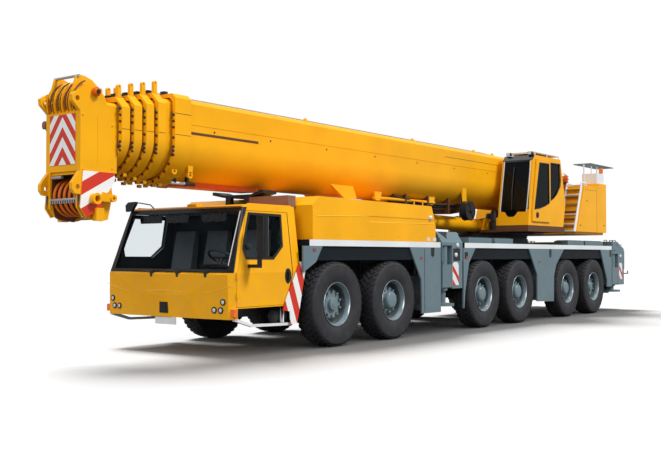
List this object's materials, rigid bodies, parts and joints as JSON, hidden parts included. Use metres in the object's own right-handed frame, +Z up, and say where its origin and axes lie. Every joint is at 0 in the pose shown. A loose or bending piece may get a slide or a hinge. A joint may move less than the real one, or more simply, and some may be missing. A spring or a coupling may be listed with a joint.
{
  "type": "six-axle all-terrain telescopic mobile crane",
  "caption": "All-terrain mobile crane: driver cab and engine cover in front, slewing upper works with tilting cab, telescopic boom laid forward over the cab, steered wheels and outriggers.",
  "frame": {"origin": "on the ground under the middle of the stowed crane", "axes": "+X forward along the boom, +Y to the left, +Z up"},
  "size_m": [17.975, 3.265, 3.9719],
  "materials": {
    "boom_yellow": "satin yellow paint",
    "carrier_grey": "satin grey paint",
    "frame_grey": "satin dark grey paint",
    "deck_white": "satin white edge rail over dark fascia",
    "tyre": "matt",
    "glass": "tinted",
    "interior": "matt",
    "engine_block": "matt",
    "rod_chrome": "polished",
    "winch_steel": "rope wound"
  },
  "bodies": {
    "carrier": {"chassis_frame": "frame_grey", "deck": "deck_white", "side_panels": "carrier_grey", "driver_cab": "boom_yellow", "cab_glass": "glass", "cab_interior": "interior", "engine_cover": "boom_yellow", "engine": "engine_block", "outrigger_boxes": "carrier_grey", "axles": "frame_grey"},
    "left_door": {"left_door": "boom_yellow", "left_door_glass": "glass"},
    "right_door": {"right_door": "boom_yellow", "right_door_glass": "glass"},
    "turntable": {"turntable_frame": "boom_yellow", "tail_housing": "boom_yellow"},
    "winch_drum": {"winch_drum": "winch_steel"},
    "crane_cab": {"crane_cab": "boom_yellow", "crane_cab_glass": "glass"},
    "crane_cab_door": {"crane_cab_door": "boom_yellow"},
    "boom_base": {"boom_base": "boom_yellow"},
    "luff_cylinder": {"luff_cylinder": "boom_yellow"},
    "luff_rod": {"luff_rod": "rod_chrome"},
    "telescope_1": {"telescope_1": "boom_yellow"},
    "telescope_2": {"telescope_2": "boom_yellow"},
    "telescope_3": {"telescope_3": "boom_yellow"},
    "telescope_4": {"telescope_4": "boom_yellow"},
    "telescope_5": {"telescope_5": "boom_yellow"},
    "outrigger_beam_front_left": {"outrigger_beam_front_left": "carrier_grey"},
    "outrigger_jack_front_left": {"outrigger_jack_front_left": "carrier_grey"},
    "outrigger_beam_front_right": {"outrigger_beam_front_right": "carrier_grey"},
    "outrigger_jack_front_right": {"outrigger_jack_front_right": "carrier_grey"},
    "outrigger_beam_rear_left": {"outrigger_beam_rear_left": "carrier_grey"},
    "outrigger_jack_rear_left": {"outrigger_jack_rear_left": "carrier_grey"},
    "outrigger_beam_rear_right": {"outrigger_beam_rear_right": "carrier_grey"},
    "outrigger_jack_rear_right": {"outrigger_jack_rear_right": "carrier_grey"},
    "knuckle_1_left": {"knuckle_1_left": "frame_grey"},
    "wheel_1_left": {"wheel_1_left": "tyre"},
    "knuckle_1_right": {"knuckle_1_right": "frame_grey"},
    "wheel_1_right": {"wheel_1_right": "tyre"},
    "knuckle_2_left": {"knuckle_2_left": "frame_grey"},
    "wheel_2_left": {"wheel_2_left": "tyre"},
    "knuckle_2_right": {"knuckle_2_right": "frame_grey"},
    "wheel_2_right": {"wheel_2_right": "tyre"},
    "knuckle_3_left": {"knuckle_3_left": "frame_grey"},
    "wheel_3_left": {"wheel_3_left": "tyre"},
    "knuckle_3_right": {"knuckle_3_right": "frame_grey"},
    "wheel_3_right": {"wheel_3_right": "tyre"},
    "knuckle_4_left": {"knuckle_4_left": "frame_grey"},
    "wheel_4_left": {"wheel_4_left": "tyre"},
    "knuckle_4_right": {"knuckle_4_right": "frame_grey"},
    "wheel_4_right": {"wheel_4_right": "tyre"},
    "knuckle_5_left": {"knuckle_5_left": "frame_grey"},
    "wheel_5_left": {"wheel_5_left": "tyre"},
    "knuckle_5_right": {"knuckle_5_right": "frame_grey"},
    "wheel_5_right": {"wheel_5_right": "tyre"},
    "knuckle_6_left": {"knuckle_6_left": "frame_grey"},
    "wheel_6_left": {"wheel_6_left": "tyre"},
    "knuckle_6_right": {"knuckle_6_right": "frame_grey"},
    "wheel_6_right": {"wheel_6_right": "tyre"}
  },
  "joints": [
    {"name": "slew", "type": "hinge", "parent": "carrier", "child": "turntable", "pos_m": [-3.58, 0, 1.861], "axis": [0, 0, 1], "range_deg": [-180, 180]},
    {"name": "luff", "type": "hinge", "parent": "turntable", "child": "boom_base", "pos_m": [-5.93, 0, 3.05], "axis": [0, -1, 0], "range_deg": [0, 83]},
    {"name": "telescope_1_slide", "type": "slide", "parent": "boom_base", "child": "telescope_1", "axis": [1, 0, 0], "range_m": [0, 8.9]},
    {"name": "telescope_2_slide", "type": "slide", "parent": "telescope_1", "child": "telescope_2", "axis": [1, 0, 0], "range_m": [0, 8.9]},
    {"name": "telescope_3_slide", "type": "slide", "parent": "telescope_2", "child": "telescope_3", "axis": [1, 0, 0], "range_m": [0, 8.9]},
    {"name": "telescope_4_slide", "type": "slide", "parent": "telescope_3", "child": "telescope_4", "axis": [1, 0, 0], "range_m": [0, 8.9]},
    {"name": "telescope_5_slide", "type": "slide", "parent": "telescope_4", "child": "telescope_5", "axis": [1, 0, 0], "range_m": [0, 8.9]},
    {"name": "luff_cylinder_pivot", "type": "hinge", "parent": "turntable", "child": "luff_cylinder", "pos_m": [-2.98, 0, 2.165], "axis": [0, -1, 0], "range_deg": [0, 98.21]},
    {"name": "luff_rod_slide", "type": "slide", "parent": "luff_cylinder", "child": "luff_rod", "axis": [0.9998, 0, 0.0191], "range_m": [0, 3.7888]},
    {"name": "crane_cab_tilt", "type": "hinge", "parent": "turntable", "child": "crane_cab", "pos_m": [-4.465, 1.065, 2.15], "axis": [0, -1, 0], "range_deg": [0, 20]},
    {"name": "crane_cab_door_slide", "type": "slide", "parent": "crane_cab", "child": "crane_cab_door", "axis": [-1, 0, 0], "range_m": [0, 0.75]},
    {"name": "winch_spin", "type": "hinge", "parent": "turntable", "child": "winch_drum", "pos_m": [-6.82, 0, 2.35], "axis": [0, 1, 0], "continuous": true},
    {"name": "left_door_hinge", "type": "hinge", "parent": "carrier", "child": "left_door", "pos_m": [6.888, 1.378, 1.4], "axis": [0, 0, -1], "range_deg": [0, 75]},
    {"name": "right_door_hinge", "type": "hinge", "parent": "carrier", "child": "right_door", "pos_m": [6.888, -1.378, 1.4], "axis": [0, 0, 1], "range_deg": [0, 75]},
    {"name": "beam_front_left", "type": "slide", "parent": "carrier", "child": "outrigger_beam_front_left", "axis": [0, 1, 0], "range_m": [0, 2.3]},
    {"name": "jack_front_left", "type": "slide", "parent": "outrigger_beam_front_left", "child": "outrigger_jack_front_left", "axis": [0, 0, -1], "range_m": [0, 0.65]},
    {"name": "beam_front_right", "type": "slide", "parent": "carrier", "child": "outrigger_beam_front_right", "axis": [0, -1, 0], "range_m": [0, 2.3]},
    {"name": "jack_front_right", "type": "slide", "parent": "outrigger_beam_front_right", "child": "outrigger_jack_front_right", "axis": [0, 0, -1], "range_m": [0, 0.65]},
    {"name": "beam_rear_left", "type": "slide", "parent": "carrier", "child": "outrigger_beam_rear_left", "axis": [0, 1, 0], "range_m": [0, 2.3]},
    {"name": "jack_rear_left", "type": "slide", "parent": "outrigger_beam_rear_left", "child": "outrigger_jack_rear_left", "axis": [0, 0, -1], "range_m": [0, 0.65]},
    {"name": "beam_rear_right", "type": "slide", "parent": "carrier", "child": "outrigger_beam_rear_right", "axis": [0, -1, 0], "range_m": [0, 2.3]},
    {"name": "jack_rear_right", "type": "slide", "parent": "outrigger_beam_rear_right", "child": "outrigger_jack_rear_right", "axis": [0, 0, -1], "range_m": [0, 0.65]},
    {"name": "steer_1_left", "type": "hinge", "parent": "carrier", "child": "knuckle_1_left", "pos_m": [4.62, 1.02, 0.685], "axis": [0, 0, 1], "range_deg": [-30, 30]},
    {"name": "spin_1_left", "type": "hinge", "parent": "knuckle_1_left", "child": "wheel_1_left", "pos_m": [4.62, 1.308, 0.685], "axis": [0, 1, 0], "continuous": true},
    {"name": "steer_1_right", "type": "hinge", "parent": "carrier", "child": "knuckle_1_right", "pos_m": [4.62, -1.02, 0.685], "axis": [0, 0, 1], "range_deg": [-30, 30]},
    {"name": "spin_1_right", "type": "hinge", "parent": "knuckle_1_right", "child": "wheel_1_right", "pos_m": [4.62, -1.308, 0.685], "axis": [0, 1, 0], "continuous": true},
    {"name": "steer_2_left", "type": "hinge", "parent": "carrier", "child": "knuckle_2_left", "pos_m": [2.97, 1.02, 0.685], "axis": [0, 0, 1], "range_deg": [-21.49, 21.49]},
    {"name": "spin_2_left", "type": "hinge", "parent": "knuckle_2_left", "child": "wheel_2_left", "pos_m": [2.97, 1.308, 0.685], "axis": [0, 1, 0], "continuous": true},
    {"name": "steer_2_right", "type": "hinge", "parent": "carrier", "child": "knuckle_2_right", "pos_m": [2.97, -1.02, 0.685], "axis": [0, 0, 1], "range_deg": [-21.49, 21.49]},
    {"name": "spin_2_right", "type": "hinge", "parent": "knuckle_2_right", "child": "wheel_2_right", "pos_m": [2.97, -1.308, 0.685], "axis": [0, 1, 0], "continuous": true},
    {"name": "steer_3_left", "type": "hinge", "parent": "carrier", "child": "knuckle_3_left", "pos_m": [-0.38, 1.02, 0.685], "axis": [0, 0, 1], "range_deg": [-4.15, 4.15]},
    {"name": "spin_3_left", "type": "hinge", "parent": "knuckle_3_left", "child": "wheel_3_left", "pos_m": [-0.38, 1.308, 0.685], "axis": [0, 1, 0], "continuous": true},
    {"name": "steer_3_right", "type": "hinge", "parent": "carrier", "child": "knuckle_3_right", "pos_m": [-0.38, -1.02, 0.685], "axis": [0, 0, 1], "range_deg": [-4.15, 4.15]},
    {"name": "spin_3_right", "type": "hinge", "parent": "knuckle_3_right", "child": "wheel_3_right", "pos_m": [-0.38, -1.308, 0.685], "axis": [0, 1, 0], "continuous": true},
    {"name": "steer_4_left", "type": "hinge", "parent": "carrier", "child": "knuckle_4_left", "pos_m": [-2.03, 1.02, 0.685], "axis": [0, 0, 1], "range_deg": [-5.02, 5.02]},
    {"name": "spin_4_left", "type": "hinge", "parent": "knuckle_4_left", "child": "wheel_4_left", "pos_m": [-2.03, 1.308, 0.685], "axis": [0, 1, 0], "continuous": true},
    {"name": "steer_4_right", "type": "hinge", "parent": "carrier", "child": "knuckle_4_right", "pos_m": [-2.03, -1.02, 0.685], "axis": [0, 0, 1], "range_deg": [-5.02, 5.02]},
    {"name": "spin_4_right", "type": "hinge", "parent": "knuckle_4_right", "child": "wheel_4_right", "pos_m": [-2.03, -1.308, 0.685], "axis": [0, 1, 0], "continuous": true},
    {"name": "steer_5_left", "type": "hinge", "parent": "carrier", "child": "knuckle_5_left", "pos_m": [-4.63, 1.02, 0.685], "axis": [0, 0, 1], "range_deg": [-20.29, 20.29]},
    {"name": "spin_5_left", "type": "hinge", "parent": "knuckle_5_left", "child": "wheel_5_left", "pos_m": [-4.63, 1.308, 0.685], "axis": [0, 1, 0], "continuous": true},
    {"name": "steer_5_right", "type": "hinge", "parent": "carrier", "child": "knuckle_5_right", "pos_m": [-4.63, -1.02, 0.685], "axis": [0, 0, 1], "range_deg": [-20.29, 20.29]},
    {"name": "spin_5_right", "type": "hinge", "parent": "knuckle_5_right", "child": "wheel_5_right", "pos_m": [-4.63, -1.308, 0.685], "axis": [0, 1, 0], "continuous": true},
    {"name": "steer_6_left", "type": "hinge", "parent": "carrier", "child": "knuckle_6_left", "pos_m": [-6.28, 1.02, 0.685], "axis": [0, 0, 1], "range_deg": [-30, 30]},
    {"name": "spin_6_left", "type": "hinge", "parent": "knuckle_6_left", "child": "wheel_6_left", "pos_m": [-6.28, 1.308, 0.685], "axis": [0, 1, 0], "continuous": true},
    {"name": "steer_6_right", "type": "hinge", "parent": "carrier", "child": "knuckle_6_right", "pos_m": [-6.28, -1.02, 0.685], "axis": [0, 0, 1], "range_deg": [-30, 30]},
    {"name": "spin_6_right", "type": "hinge", "parent": "knuckle_6_right", "child": "wheel_6_right", "pos_m": [-6.28, -1.308, 0.685], "axis": [0, 1, 0], "continuous": true}
  ],
  "couplings": [
    {"joint": "luff_cylinder_pivot", "follows": "luff", "ratio": 1.1827},
    {"joint": "luff_rod_slide", "follows": "luff", "m_per_rad": 2.6141},
    {"joint": "steer_1_right", "follows": "steer_1_left", "ratio": 1},
    {"joint": "steer_2_left", "follows": "steer_1_left", "ratio": 0.716},
    {"joint": "steer_2_right", "follows": "steer_1_left", "ratio": 0.716},
    {"joint": "steer_3_left", "follows": "steer_1_left", "ratio": 0.138},
    {"joint": "steer_3_right", "follows": "steer_1_left", "ratio": 0.138},
    {"joint": "steer_4_left", "follows": "steer_6_left", "ratio": 0.167},
    {"joint": "steer_4_right", "follows": "steer_6_left", "ratio": 0.167},
    {"joint": "steer_5_left", "follows": "steer_6_left", "ratio": 0.676},
    {"joint": "steer_5_right", "follows": "steer_6_left", "ratio": 0.676},
    {"joint": "steer_6_right", "follows": "steer_6_left", "ratio": 1}
  ]
}
